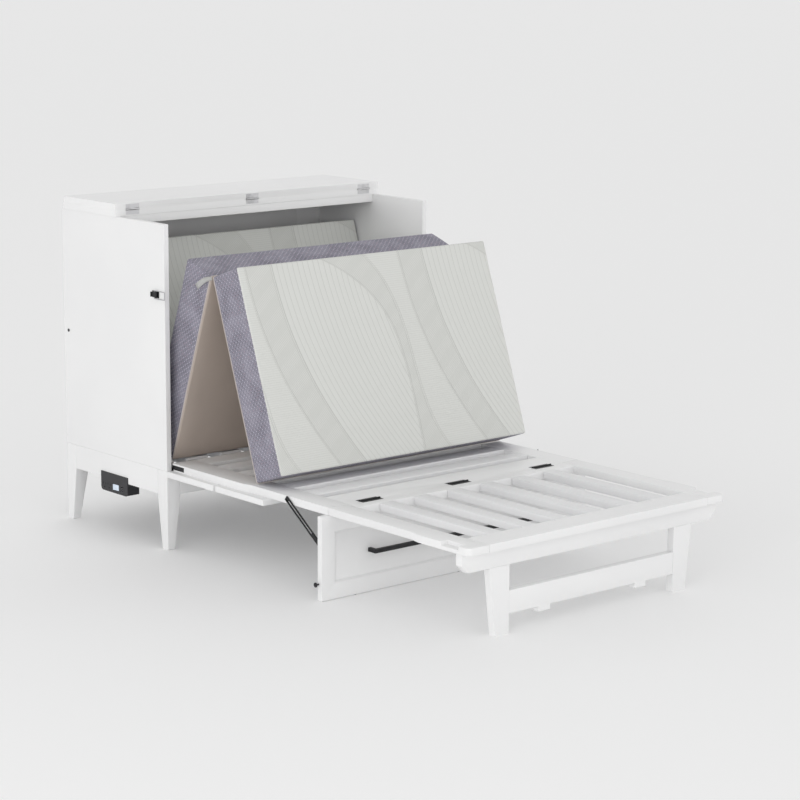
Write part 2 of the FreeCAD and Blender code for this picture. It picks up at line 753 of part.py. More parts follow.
# ---- charging station ---------------------------------------------------------------------------
def charger():
    out = -halfWidth - chargerPlate
    y0 = chargerFront
    y1 = chargerFront + chargerLong
    plate = box(out, -halfWidth, y0, y1, chargerLow, chargerHigh)
    for y, inward in ((y0, 1), (y1, -1)):
        square = box(out, -halfWidth, y, y + inward * chargerCorner, chargerLow, chargerLow + chargerCorner)
        disc = rodX(out, -halfWidth, y + inward * chargerCorner, chargerLow + chargerCorner,
                    chargerCorner)
        plate = plate.cut(square.cut(disc))
    low = chargerLow + chargerLift
    high = baseLow - chargerTop
    midZ = (chargerLow + high) / 2
    skin = (out - cutPast, -halfWidth + cutPast)
    holes = [box(*skin, rockerY - rockerLong / 2 - rockerGap, rockerY + rockerLong / 2 + rockerGap,
                 midZ - rockerHigh / 2 - rockerGap, midZ + rockerHigh / 2 + rockerGap)]
    usbZ = [midZ - usbPitch / 2, midZ + usbPitch / 2]
    for z in usbZ:
        holes.append(box(*skin, usbY - usbWide / 2, usbY + usbWide / 2, z - usbHigh / 2, z + usbHigh / 2))
    for start in outletFromFront:
        y = chargerFront + start
        for slotY in (y - outletSlotSide, y + outletSlotSide):
            holes.append(box(*skin, slotY - outletSlotHalf, slotY + outletSlotHalf,
                             midZ - outletSlotHalf, midZ + outletSlotHigh))
        holes.append(rodX(*skin, y, midZ - outletEarthDrop, outletEarthRadius))
    save("charger_faceplate", [cut(plate, holes)])

    back = -halfWidth + chargerDeep
    inside = (y0 + chargerInset + chargerWall, y1 - chargerInset - chargerWall,
              low + chargerWall, high - chargerWall)
    shell = box(-halfWidth, back, y0 + chargerInset, y1 - chargerInset, low, high)
    hollow = box(-halfWidth - cutPast, back - chargerWall, *inside)
    inletY = (y0 + y1) / 2
    inletSize = (inletY - inletHalf, inletY + inletHalf, midZ - inletHigh, midZ + inletHigh)
    inletHole = box(back - chargerWall - cutPast, back + cutPast, *inletSize)
    save("charger_housing", [cut(shell, [hollow, inletHole])])
    boardX = -halfWidth + usbDeep
    save("charger_board", [box(boardX, boardX + boardDeep, *inside)])
    ports = []
    for z in usbZ:
        port = box(out + usbSunk, boardX, usbY - usbWide / 2, usbY + usbWide / 2,
                   z - usbHigh / 2, z + usbHigh / 2)
        mouth = box(out - cutPast, -halfWidth + usbMouth, usbY - usbWide / 2 + usbWall,
                    usbY + usbWide / 2 - usbWall, z - usbHigh / 2 + usbWall, z + usbHigh / 2 - usbWall)
        ports.append(port.cut(mouth))
    save("usb_ports", ports)
    inlet = box(back - chargerWall - inletDeep, back + inletProud, *inletSize)
    socket = box(back - inletSocket, back + inletProud + cutPast, inletSize[0] + inletWall,
                 inletSize[1] - inletWall, inletSize[2] + inletWall, inletSize[3] - inletWall)
    save("charger_inlet", [inlet.cut(socket)])

    half = rockerLong / 2 - rockerPlay
    narrow = rockerLong / 2 - rockerTaper
    top = out - rockerProud
    rim = out + rockerSunk
    base = -halfWidth + rockerDeep
    profile = [(base, rockerY - narrow), (base, rockerY + narrow), (rim, rockerY + half),
               (top, rockerY + half), (out + rockerDish, rockerY), (top, rockerY - half),
               (rim, rockerY - half)]
    rocker = prismZ(profile, midZ - rockerHigh / 2, midZ + rockerHigh / 2)
    rocker = turned(rocker, (-halfWidth, rockerY, 0), (0, 0, 1), rockerTilt)
    save("charger_rocker", [rocker])


# ---- mattress -----------------------------------------------------------------------------------
# Three foam panels. The foot and middle panels lean together as a tent, joined along the edge of
# their undersides, and the head panel leans back, joined to the middle one along its top face.
def mattressPanelSolid(start, up, outward):
    uy, uz = up
    oy, oz = outward
    a = (start[0] + uy * mattressJoint, start[1] + uz * mattressJoint)
    b = (start[0] + uy * (mattressPanel - mattressJoint), start[1] + uz * (mattressPanel - mattressJoint))
    points = [a, b, (b[0] + oy * mattressThick, b[1] + oz * mattressThick),
              (a[0] + oy * mattressThick, a[1] + oz * mattressThick)]
    return prismX(points, mattressShift - mattressWidth / 2, mattressShift + mattressWidth / 2)


def mattress():
    tent = math.radians(leanFoot)
    head = math.radians(leanHead)
    restZ = deckTop + mattressRest
    apexZ = restZ + mattressPanel * math.cos(tent)
    apex = (apexY, apexZ)
    foot = mattressPanelSolid(apex, (-math.sin(tent), -math.cos(tent)), (-math.cos(tent), math.sin(tent)))
    middle = mattressPanelSolid(apex, (math.sin(tent), -math.cos(tent)), (math.cos(tent), math.sin(tent)))
    foldY = apexY + mattressPanel * math.sin(tent) + mattressThick * math.cos(tent)
    foldZ = restZ + mattressThick * math.sin(tent)
    up = (math.sin(head), math.cos(head))
    headPanel = mattressPanelSolid((foldY, foldZ), up, (math.cos(head), -math.sin(head)))
    save("mattress_foot_panel", [foot])
    save("mattress_middle_panel", [middle])
    save("mattress_head_panel", [headPanel])
    print("mattress apex", apex, "fold", (foldY, foldZ))


os.makedirs("parts", exist_ok=True)
baseFrame()
carcase()
lids()
headDeck()
pivots()
middleSection()
fronts()
supportPanel()
stays()
footSection()
footLegs()
latches()
charger()
mattress()
print("originY", originY, "middleLength", middleLength, "frontHeight", frontHeight, "footEnd", footEnd,
      "closedKnobZ", closedKnobZ, "closedKnobY", closedKnobY)
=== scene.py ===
import bpy
import bmesh
import json
import math
from mathutils import Matrix, Vector


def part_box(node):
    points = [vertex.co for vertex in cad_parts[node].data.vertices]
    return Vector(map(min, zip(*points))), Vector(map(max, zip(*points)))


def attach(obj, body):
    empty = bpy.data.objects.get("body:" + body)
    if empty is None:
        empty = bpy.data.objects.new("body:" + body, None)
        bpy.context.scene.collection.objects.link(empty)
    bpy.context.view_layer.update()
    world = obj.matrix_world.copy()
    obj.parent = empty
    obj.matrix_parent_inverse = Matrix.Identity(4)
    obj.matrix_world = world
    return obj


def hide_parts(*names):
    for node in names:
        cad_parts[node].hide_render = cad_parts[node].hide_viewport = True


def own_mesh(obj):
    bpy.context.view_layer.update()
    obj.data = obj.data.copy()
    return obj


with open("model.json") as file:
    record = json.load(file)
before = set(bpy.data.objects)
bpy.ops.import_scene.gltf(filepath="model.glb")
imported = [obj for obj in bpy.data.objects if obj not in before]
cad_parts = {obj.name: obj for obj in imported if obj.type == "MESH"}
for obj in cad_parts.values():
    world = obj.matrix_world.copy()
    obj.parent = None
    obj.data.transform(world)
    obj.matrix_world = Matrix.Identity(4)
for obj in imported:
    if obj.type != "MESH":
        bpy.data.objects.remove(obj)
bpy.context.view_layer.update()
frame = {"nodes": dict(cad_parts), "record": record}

scene = bpy.context.scene
mm = 0.001


# One shader socket, so that maths on it reads like plain Python.
class Value:
    def __init__(self, paint, socket):
        self.paint = paint
        self.socket = socket

    def do(self, operation, *others):
        return self.paint.maths(operation, self, *others)

    def __add__(self, other):
        return self.do("ADD", other)

    def __sub__(self, other):
        return self.do("SUBTRACT", other)

    def __mul__(self, other):
        return self.do("MULTIPLY", other)

    def __truediv__(self, other):
        return self.do("DIVIDE", other)

    def __rsub__(self, other):
        return self.paint.maths("SUBTRACT", other, self)

    def __lt__(self, other):
        return self.do("LESS_THAN", other)

    __radd__ = __add__


class Paint:
    def __init__(self, name):
        self.material = bpy.data.materials.new(name)
        self.material.use_nodes = True
        self.tree = self.material.node_tree
        self.shader = self.tree.nodes["Principled BSDF"]

    def add(self, kind, settings=None, inputs=None, output=0):
        node = self.tree.nodes.new(kind)
        for key, value in (settings or {}).items():
            setattr(node, key, value)
        for key, value in (inputs or {}).items():
            self.feed(node.inputs[key], value)
        return Value(self, node.outputs[output])

    def feed(self, socket, value):
        if isinstance(value, Value):
            self.tree.links.new(value.socket, socket)
        else:
            socket.default_value = value

    def maths(self, operation, *values):
        return self.add("ShaderNodeMath", {"operation": operation}, dict(enumerate(values)))

    def smooth(self, value, low, high):
        return self.add("ShaderNodeMapRange", {"interpolation_type": "SMOOTHSTEP"},
                        {0: value, 1: low, 2: high, 3: 0.0, 4: 1.0})

    def blend(self, factor, first, second):
        inputs = {0: factor, 6: first, 7: second}
        return self.add("ShaderNodeMix", {"data_type": "RGBA"}, inputs, 2)

    def place(self, stretch=(1, 1, 1), source="Object"):
        where = self.add("ShaderNodeTexCoord", output=source)
        return self.add("ShaderNodeMapping", None, {"Vector": where, "Scale": stretch})

    def clothAxes(self):
        uv = self.place(source="UV")
        split = self.tree.nodes.new("ShaderNodeSeparateXYZ")
        self.feed(split.inputs[0], uv)
        return uv, Value(self, split.outputs[0]), Value(self, split.outputs[1])

    def noise(self, scale, where, detail=3.0, roughness=0.5):
        inputs = {"Vector": where, "Scale": scale, "Detail": detail, "Roughness": roughness}
        return self.add("ShaderNodeTexNoise", None, inputs)

    def bump(self, height, strength, distance):
        inputs = {"Height": height, "Strength": strength, "Distance": distance}
        return self.add("ShaderNodeBump", None, inputs)

    def finish(self, **sockets):
        for key, value in sockets.items():
            name = "".join(" " + c if c.isupper() else c for c in key).strip().title()
            self.feed(self.shader.inputs[name], value)
        return self.material


def rgb(r, g, b):
    return (r, g, b, 1.0)


satin = {"cloud": 3.0, "grain": 60.0, "peel": 420.0, "spread": 0.12, "strength": 0.12, "depth": 0.0006}


# Painted boards: a faint cloud in the colour, a little change of sheen and a fine peel.
def satinPaint(name, colour, shade, roughness):
    s = satin
    paint = Paint(name)
    where = paint.place()
    cloud = paint.noise(s["cloud"], where, 2.0)
    grain = paint.noise(s["grain"], where, 4.0, 0.6)
    peel = paint.noise(s["peel"], where, 2.0)
    colourMix = paint.blend(paint.smooth(cloud, 0.35, 0.7), colour, shade)
    rough = roughness + (grain - 0.5) * s["spread"]
    normal = paint.bump(peel * 0.6 + grain * 0.4, s["strength"], s["depth"])
    return paint.finish(baseColor=colourMix, roughness=rough, normal=normal)


coat = {
    "speck": 900.0, "wear": 45.0, "wornFrom": 0.62, "wornTo": 0.8, "lighten": 2.2, "lift": 0.015,
    "spread": 0.15, "strength": 0.18, "depth": 0.0004,
}


# Coated steel: a fine speckle with a few lighter rubbed patches.
def coatedSteel(name, colour, roughness, metallic):
    s = coat
    paint = Paint(name)
    where = paint.place()
    speck = paint.noise(s["speck"], where, 3.0, 0.7)
    wear = paint.smooth(paint.noise(s["wear"], where, 4.0, 0.7), s["wornFrom"], s["wornTo"])
    lighter = tuple(min(1.0, c * s["lighten"] + s["lift"]) for c in colour[:3]) + (1.0,)
    colourMix = paint.blend(wear, colour, lighter)
    normal = paint.bump(speck, s["strength"], s["depth"])
    return paint.finish(baseColor=colourMix, roughness=roughness + speck * s["spread"], metallic=metallic,
                        normal=normal)


drawn = {
    "lines": 220.0, "stretch": (0.08, 1.0, 1.0), "cloud": 30.0, "darken": 0.72, "roughness": 0.2,
    "spread": 0.22, "strength": 0.12, "depth": 0.0003,
}


# Bare metal: fine drawn lines under a soft tarnish.
def brightMetal(name, colour):
    s = drawn
    paint = Paint(name)
    lines = paint.noise(s["lines"], paint.place(s["stretch"]), 3.0, 0.6)
    cloud = paint.noise(s["cloud"], paint.place(), 2.0)
    darker = tuple(c * s["darken"] for c in colour[:3]) + (1.0,)
    colourMix = paint.blend(paint.smooth(cloud, 0.4, 0.75), colour, darker)
    return paint.finish(baseColor=colourMix, metallic=1.0, roughness=s["roughness"] + lines * s["spread"],
                        normal=paint.bump(lines, s["strength"], s["depth"]))


moulded = {
    "spark": 1500.0, "cloud": 40.0, "lighten": 1.25, "lift": 0.004, "spread": 0.1, "strength": 0.2,
    "depth": 0.0002,
}


# Plastic: the fine spark texture of a mould.
def mouldedPlastic(name, colour, roughness):
    s = moulded
    paint = Paint(name)
    spark = paint.noise(s["spark"], paint.place(), 2.0)
    cloud = paint.noise(s["cloud"], paint.place(), 2.0)
    lighter = tuple(min(1.0, c * s["lighten"] + s["lift"]) for c in colour[:3]) + (1.0,)
    return paint.finish(baseColor=paint.blend(cloud, colour, lighter),
                        roughness=roughness + spark * s["spread"],
                        normal=paint.bump(spark, s["strength"], s["depth"]))


leafCloth = {
    "base": rgb(0.665, 0.672, 0.645), "band": rgb(0.585, 0.592, 0.565), "line": rgb(0.475, 0.48, 0.455),
    "width": 0.985, "length": 0.630, "period": 0.59, "broadStart": 0.024, "slimStart": 0.305,
    "broad": 0.097, "broadBend": 0.20, "slimBend": 0.25, "slim": 0.030, "slimTop": 0.14, "slimFoot": 0.078,
    "lineGap": 0.0195, "ribGap": 0.0068, "hatchGap": 0.0052, "groupGap": 0.062, "edge": 0.0022,
    "hatchSlope": 0.75, "broadPower": 2.1, "slimPower": 5.0, "footPower": 6.0, "knitGap": (0.0031, 0.0037),
    "hatchMark": 0.42, "lineMark": 0.62, "ribMark": 0.2, "edgeMark": 0.4,
    "roughness": 0.88, "sheen": 0.15, "strength": 0.5, "depth": 0.0015,
}


# Knitted top: long hatched leaves that bend as they fall, with curved lines on one side and fine ribs on
# the other.
def leafKnit(name):
    s = leafCloth
    paint = Paint(name)
    uv, across, upward = paint.clothAxes()
    u = across + s["width"] / 2
    fall = (0.5 - upward / s["length"]).do("MAXIMUM", 0.001).do("MINIMUM", 0.999)
    rise = 1.0 - fall
    broadAt = fall.do("POWER", s["broadPower"]) * s["broadBend"] + s["broadStart"]
    bent = rise.do("POWER", s["slimPower"])
    slimAt = (1.0 - bent) * s["slimBend"] + s["slimStart"]
    slimWidth = bent * s["slimTop"] + fall.do("POWER", s["footPower"]) * s["slimFoot"] + s["slim"]
    pastBroad = (u - broadAt).do("FLOORED_MODULO", s["period"])
    pastSlim = (u - slimAt).do("FLOORED_MODULO", s["period"])
    afterBroad = pastBroad < pastSlim
    afterSlim = 1.0 - afterBroad
    inBroad = afterBroad * (pastBroad < s["broad"])
    inSlim = afterSlim * (pastSlim < slimWidth)
    band = inBroad + inSlim
    plain = 1.0 - band

    def wave(value, gap):
        return (value * (2 * math.pi / gap)).do("SINE")

    def rim(distance):
        outer = paint.smooth(s["edge"] - distance.do("ABSOLUTE"), 0.0, s["edge"] * 0.6)
        inner = paint.smooth(s["edge"] - (distance - s["edge"] * 3).do("ABSOLUTE"), 0.0, s["edge"] * 0.6)
        return (outer + inner).do("MINIMUM", 1.0)

    slope = (upward - across * s["hatchSlope"]) / math.hypot(1.0, s["hatchSlope"])
    group = paint.smooth(wave(slope, s["groupGap"]), -0.15, 0.15)
    hatch = paint.smooth(wave(slope, s["hatchGap"]), 0.1, 0.8) * band
    lines = paint.smooth(wave(pastBroad, s["lineGap"]), 0.93, 0.995) * afterBroad * plain
    ribs = paint.smooth(wave(upward, s["ribGap"]), 0.2, 0.9) * afterSlim * plain
    edges = (rim(pastBroad) + rim(pastBroad - s["broad"]) * afterBroad
             + rim(pastSlim) + rim(pastSlim - slimWidth) * afterSlim).do("MINIMUM", 1.0)
    knit = wave(across, s["knitGap"][0]) * wave(upward, s["knitGap"][1])
    ground = paint.blend(band * (0.2 + group * 0.3), s["base"], s["band"])
    marks = (hatch * (s["hatchMark"] - group * 0.2) + lines * s["lineMark"] + ribs * s["ribMark"]
             + edges * s["edgeMark"])
    colour = paint.blend(marks.do("MINIMUM", 1.0), ground, s["line"])
    soft = paint.noise(9.0, uv, 3.0)
    height = knit * 0.12 - hatch * 0.3 - lines * 0.9 - ribs * 0.25 - edges * 0.8 + soft * 0.6
    return paint.finish(baseColor=colour, roughness=s["roughness"] - marks * 0.06, sheenWeight=s["sheen"],
                        normal=paint.bump(height, s["strength"], s["depth"]))


floretCloth = {
    "base": rgb(0.25, 0.238, 0.29), "dark": rgb(0.155, 0.147, 0.185), "dot": rgb(0.60, 0.585, 0.69),
    "rose": rgb(0.46, 0.36, 0.42), "cell": 0.0175, "squat": 0.87,
    "petals": 7.0, "ringRadius": 0.29, "ringHalf": 0.07, "heart": 0.14,
    "dotMark": 0.62, "heartMark": 0.85, "ribs": (40.0, 36.0),
    "roughness": 0.9, "sheen": 0.1, "strength": 0.5, "depth": 0.001,
}


# Knitted border: a lattice of small florets, each a ring of seven dots round a pale heart, some of them
# rosy.
def floretKnit(name):
    s = floretCloth
    paint = Paint(name)
    uv, across, upward = paint.clothAxes()
    u = across / s["cell"]
    v = upward / (s["cell"] * s["squat"])

    def floret(shift):
        x = (u + shift).do("FLOORED_MODULO", 1.0) - 0.5
        y = (v + shift).do("FLOORED_MODULO", 1.0) - 0.5
        distance = (x * x + y * y).do("SQRT")
        petals = (y.do("ARCTAN2", x) * s["petals"]).do("COSINE")
        ring = paint.smooth(s["ringHalf"] - (distance - s["ringRadius"]).do("ABSOLUTE"), 0.0, 0.04)
        dots = ring * paint.smooth(petals, -0.2, 0.5)
        heart = paint.smooth(s["heart"] - distance, 0.0, 0.05)
        return dots, heart

    firstDots, firstHeart = floret(0.0)
    nextDots, nextHeart = floret(0.5)
    dots = (firstDots + nextDots).do("MINIMUM", 1.0)
    hearts = (firstHeart + nextHeart).do("MINIMUM", 1.0)
    blush = paint.smooth(paint.noise(45.0, uv, 1.0), 0.52, 0.6)
    soft = paint.noise(14.0, uv, 3.0)
    ground = paint.blend(paint.smooth(soft, 0.3, 0.7), s["base"], s["dark"])
    dotted = paint.blend(dots * s["dotMark"], ground, s["dot"])
    heartColour = paint.blend(blush, s["dot"], s["rose"])
    colour = paint.blend(hearts * s["heartMark"], dotted, heartColour)
    rib = (v * s["ribs"][0]).do("SINE") * (u * s["ribs"][1]).do("SINE")
    height = rib * 0.15 + dots * 0.7 + hearts * 0.8 + soft * 0.5
    return paint.finish(baseColor=colour, roughness=s["roughness"], sheenWeight=s["sheen"],
                        normal=paint.bump(height, s["strength"], s["depth"]))


woven = {"fibre": 700.0, "cloud": 6.0, "roughness": 0.92, "strength": 0.4, "depth": 0.0008}


# Plain woven cloth: the underside, the cord of the seam and the tape.
def wovenPlain(name, colour, shade, scale):
    s = woven
    paint = Paint(name)
    uv, across, upward = paint.clothAxes()
    weave = (across * scale).do("SINE") * (upward * scale).do("SINE")
    fibre = paint.noise(s["fibre"], uv, 3.0, 0.7)
    cloud = paint.noise(s["cloud"], uv, 3.0)
    colourMix = paint.blend(paint.smooth(cloud * 0.6 + fibre * 0.4, 0.3, 0.7), colour, shade)
    return paint.finish(baseColor=colourMix, roughness=s["roughness"],
                        normal=paint.bump(weave * 0.4 + fibre * 0.6, s["strength"], s["depth"]))


whitePaint = satinPaint("whitePaint", rgb(0.83, 0.83, 0.83), rgb(0.81, 0.81, 0.812), 0.45)
slatPaint = satinPaint("slatPaint", rgb(0.79, 0.79, 0.795), rgb(0.765, 0.765, 0.772), 0.5)
blackSteel = coatedSteel("blackSteel", rgb(0.014, 0.014, 0.016), 0.38, 0.35)
handleBlack = coatedSteel("handleBlack", rgb(0.012, 0.012, 0.014), 0.42, 0.2)
brightSteel = brightMetal("brightSteel", rgb(0.72, 0.72, 0.73))
wireSteel = brightMetal("wireSteel", rgb(0.50, 0.50, 0.52))
blackPlastic = mouldedPlastic("blackPlastic", rgb(0.016, 0.016, 0.019), 0.42)
switchPlastic = mouldedPlastic("switchPlastic", rgb(0.62, 0.70, 0.80), 0.25)
circuitGreen = mouldedPlastic("circuitGreen", rgb(0.02, 0.14, 0.06), 0.4)
topKnit = leafKnit("topKnit")
sideKnit = floretKnit("sideKnit")
underCloth = wovenPlain("underCloth", rgb(0.50, 0.43, 0.38), rgb(0.45, 0.385, 0.34), 1500.0)
seamCloth = wovenPlain("seamCloth", rgb(0.62, 0.56, 0.53), rgb(0.52, 0.47, 0.44), 2600.0)
tapeCloth = wovenPlain("tapeCloth", rgb(0.80, 0.80, 0.78), rgb(0.70, 0.70, 0.68), 2600.0)
slotFinish = {
    "white_paint": whitePaint, "slat_paint": slatPaint, "bright_steel": brightSteel,
    "black_steel": blackSteel, "handle_black": handleBlack, "wire_steel": wireSteel,
    "black_plastic": blackPlastic, "white_plastic": switchPlastic, "circuit_board": circuitGreen,
    "mattress_fabric": sideKnit,
}
print("finishes ready")

slotOf = {part["node"]: part["material_slot"] for part in frame["record"]["subparts"]}
bodyOf = {node: body for body, nodes in frame["record"]["behaviour"]["bodies"].items() for node in nodes}
for node, obj in frame["nodes"].items():
    obj.data.materials.clear()
    obj.data.materials.append(slotFinish[slotOf[node]])


def finishPiece(mesh, name, body, slot, *materials):
    obj = bpy.data.objects.new(name, mesh)
    scene.collection.objects.link(obj)
    for material in materials:
        mesh.materials.append(material)
    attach(obj, body)
    return obj


# Every painted board gets slightly eased edges, in millimetres.
easedEdges = {
    "lid_front": 3.0, "lid_rear": 3.0, "side_panel_left": 1.6, "side_panel_right": 1.6, "back_panel": 0.8,
    "wall_cleat": 1.2, "lid_rail": 1.2, "cabinet_legs": 2.0, "base_side_rails": 1.2, "base_cross_rails": 1.2,
    "drawer_front_lower": 1.6, "drawer_front_middle": 1.6, "support_panel": 1.6, "middle_rails": 1.8,
    "middle_head_board": 1.5, "middle_slats": 2.2, "middle_end_board": 1.2, "foot_rails": 2.2,
    "foot_cross_boards": 1.5, "foot_slats": 2.2, "head_slats": 2.2, "head_bearers": 1.2, "foot_apron": 2.0,
    "foot_legs": 2.0, "foot_stretcher": 1.6, "front_handles": 1.0, "support_handle": 1.0,
}
easing = {"weld": 0.00002, "flatAngle": 0.5, "sharpAngle": 32, "segments": 3}
# their outer face is a ring round a sunk field, which can't be one polygon
ringFaced = ("drawer_front_lower", "drawer_front_middle", "support_panel")


def easeEdges(node, width):
    source = frame["nodes"][node]
    mesh = source.data.copy()
    mesh.name = node + "_eased"
    bm = bmesh.new()
    bm.from_mesh(mesh)
    bmesh.ops.remove_doubles(bm, verts=bm.verts, dist=easing["weld"])
    if node not in ringFaced:
        flat = math.radians(easing["flatAngle"])
        bmesh.ops.dissolve_limit(bm, angle_limit=flat, verts=bm.verts, edges=bm.edges)
    bm.to_mesh(mesh)
    bm.free()
    mesh.shade_smooth()
    obj = bpy.data.objects.new(node + "_board", mesh)
    scene.collection.objects.link(obj)
    bevel = obj.modifiers.new("ease", "BEVEL")
    bevel.width = width * mm
    bevel.segments = easing["segments"]
    bevel.limit_method = "ANGLE"
    bevel.angle_limit = math.radians(easing["sharpAngle"])
    bevel.harden_normals = True
    bevel.miter_outer = "MITER_ARC"
    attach(obj, bodyOf[node])
    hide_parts(node)


for node, width in easedEdges.items():
    easeEdges(node, width)
print("boards eased")

# Three padded panels, each with a corded seam round it.
pad = {
    "width": 0.985, "length": 0.630, "thick": 0.135, "cuts": 19, "crown": 0.004, "round": 0.006,
    "inset": 0.0015, "puff": 0.0015, "ripple": 0.0008, "piping": 0.0016, "pipingDrop": 0.0055,
    "pipingCorner": 0.0055, "pipingSteps": 6, "pipingSides": 8,
    "outer": 0.99, "crownPower": 3, "puffPower": 2, "rippleWaves": (9.0, 4.0, 7.0, 3.0), "roundSteps": 4,
}


def panelFrame(node):
    # centre of a leaning panel and the line along its length, read from its plain solid
    mesh = frame["nodes"][node].data
    corners = []
    for vertex in mesh.vertices:
        at = (round(vertex.co.y, 5), round(vertex.co.z, 5))
        if all(math.dist(at, c) > 0.001 for c in corners):
            corners.append(at)
    middleX = (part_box(node)[0].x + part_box(node)[1].x) / 2
    centre = Vector((middleX, sum(c[0] for c in corners) / 4, sum(c[1] for c in corners) / 4))
    first = corners[0]
    others = sorted(corners[1:], key=lambda c: math.dist(c, first))
    longSide = Vector((0, others[1][0] - first[0], others[1][1] - first[1])).normalized()
    return centre, longSide


def makePanel(name, node, body, up, outward):
    s = pad
    bm = bmesh.new()
    bmesh.ops.create_cube(bm, size=1.0)
    bmesh.ops.subdivide_edges(bm, edges=bm.edges, cuts=s["cuts"], use_grid_fill=True)
    half = Vector((s["width"] / 2 - s["inset"], s["length"] / 2 - s["inset"] / 2, s["thick"] / 2))
    uvLayer = bm.loops.layers.uv.new("cloth")
    for vertex in bm.verts:
        a, b, c = vertex.co * 2
        fullX = 1 - abs(a) ** s["crownPower"]
        fullY = 1 - abs(b) ** s["crownPower"]
        fullZ = 1 - abs(c) ** s["puffPower"]
        onTop = c > s["outer"]
        lift = s["crown"] * fullX * fullY if onTop else 0.0
        puff = s["puff"] * fullZ
        waves = s["rippleWaves"]
        ripple = s["ripple"] * math.sin(a * waves[0] + b * waves[1]) * math.sin(b * waves[2] - a * waves[3])
        vertex.co = Vector((a * half.x + (puff * a if abs(a) > s["outer"] else 0.0),
                            b * half.y + (puff * b * 0.5 if abs(b) > s["outer"] else 0.0),
                            c * (half.z - s["inset"]) + lift + (ripple if onTop else 0.0)))
    bm.normal_update()
    # the sharp outer edges are rounded over, in plan and in section
    sharp = [e for e in bm.edges if e.calc_face_angle(0.0) > math.radians(60)]
    bmesh.ops.bevel(bm, geom=sharp, offset=s["round"], segments=s["roundSteps"], profile=0.5,
                    affect="EDGES", material=-1)
    bm.normal_update()
    for face in bm.faces:
        n = face.normal
        face.smooth = True
        if n.z > 0.3:
            face.material_index = 0
        elif n.z < -0.5:
            face.material_index = 1
        else:
            face.material_index = 2
        for loop in face.loops:
            p = loop.vert.co
            if abs(n.z) > 0.5:
                loop[uvLayer].uv = (p.x, p.y)
            elif abs(n.x) > abs(n.y):
                loop[uvLayer].uv = (p.y, p.z)
            else:
                loop[uvLayer].uv = (p.x, p.z)
    centre, along = panelFrame(node)
    if along.dot(up) < 0:
        along = -along
    out = Vector((1, 0, 0)).cross(along)
    side = Vector((1, 0, 0))
    if out.dot(outward) < 0:
        out = -out
        side = -side
    placing = Matrix((side, along, out)).transposed().to_4x4()
    placing.translation = centre
    bmesh.ops.transform(bm, matrix=placing, verts=bm.verts)
    mesh = bpy.data.meshes.new(name)
    bm.to_mesh(mesh)
    bm.free()
    obj = finishPiece(mesh, name, body, "mattress_fabric", topKnit, underCloth, sideKnit)
    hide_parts(node)
    return obj, makePiping(name + "Piping", body, placing, half)


# A corded seam runs round the panel, just above its underside.
def makePiping(name, body, placing, half):
    s = pad
    bm = bmesh.new()
    corner = s["pipingCorner"]
    level = s["inset"] + s["pipingDrop"] - half.z
    upward = Vector((0, 0, 1))
    points = []
    for quarter, (sx, sy) in enumerate(((1, 1), (-1, 1), (-1, -1), (1, -1))):
        for step in range(s["pipingSteps"] + 1):
            turn = math.radians(90 * (quarter + step / s["pipingSteps"]))
            points.append(Vector((sx * (half.x - corner) + corner * math.cos(turn),
                                  sy * (half.y - corner) + corner * math.sin(turn), level)))
    count = len(points)
    rings = []
    for i, point in enumerate(points):
        ahead = (points[(i + 1) % count] - points[i - 1]).normalized()
        facing = Matrix((ahead.cross(upward), upward, ahead)).transposed().to_4x4()
        facing.translation = point
        ring = bmesh.ops.create_circle(bm, segments=s["pipingSides"], radius=s["piping"], matrix=facing)
        rings.append(ring["verts"])
    edgesOf = [list({e for v in ring for e in v.link_edges}) for ring in rings]
    for i in range(count):
        bmesh.ops.bridge_loops(bm, edges=edgesOf[i] + edgesOf[(i + 1) % count])
    bmesh.ops.recalc_face_normals(bm, faces=bm.faces)
    uvLayer = bm.loops.layers.uv.new("cloth")
    for face in bm.faces:
        face.smooth = True
        for loop in face.loops:
            loop[uvLayer].uv = (loop.vert.co.x + loop.vert.co.y, loop.vert.co.z)
    bmesh.ops.transform(bm, matrix=placing, verts=bm.verts)
    mesh = bpy.data.meshes.new(name)
    bm.to_mesh(mesh)
    bm.free()
    return finishPiece(mesh, name, body, "mattress_fabric", seamCloth)


forwardUp = Vector((0, 0.3, 1))
backUp = Vector((0, -0.3, 1))
towardFoot = Vector((0, -1, 0.3))
towardHead = Vector((0, 1, 0.3))
panels = [
    makePanel("mattressFoot", "mattress_foot_panel", "mattress_foot", forwardUp, towardFoot),
    makePanel("mattressMiddle", "mattress_middle_panel", "mattress_middle", backUp, towardHead),
    makePanel("mattressHead", "mattress_head_panel", "mattress_head", forwardUp, towardFoot),
]
# in the folding cabinet the mattress is pressed back against the rear wall; here each panel and its piping
# only gets a mesh of its own
for obj, piping in panels:
    for piece in (obj, piping):
        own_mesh(piece)

# The tape that joins the two leaning panels runs out past their sides as a short forked tail.
tail = {
    "start": (-0.479, 0.2165, 0.864), "long": 0.022, "back": 0.055, "drop": 0.034, "wide": 0.022,
    "flare": 0.35, "notch": 0.012, "forkFrom": 0.75, "thick": 0.0012, "steps": 8, "lean": 25,
    "twist": 30, "outward": 0.1, "slant": 0.3,
}


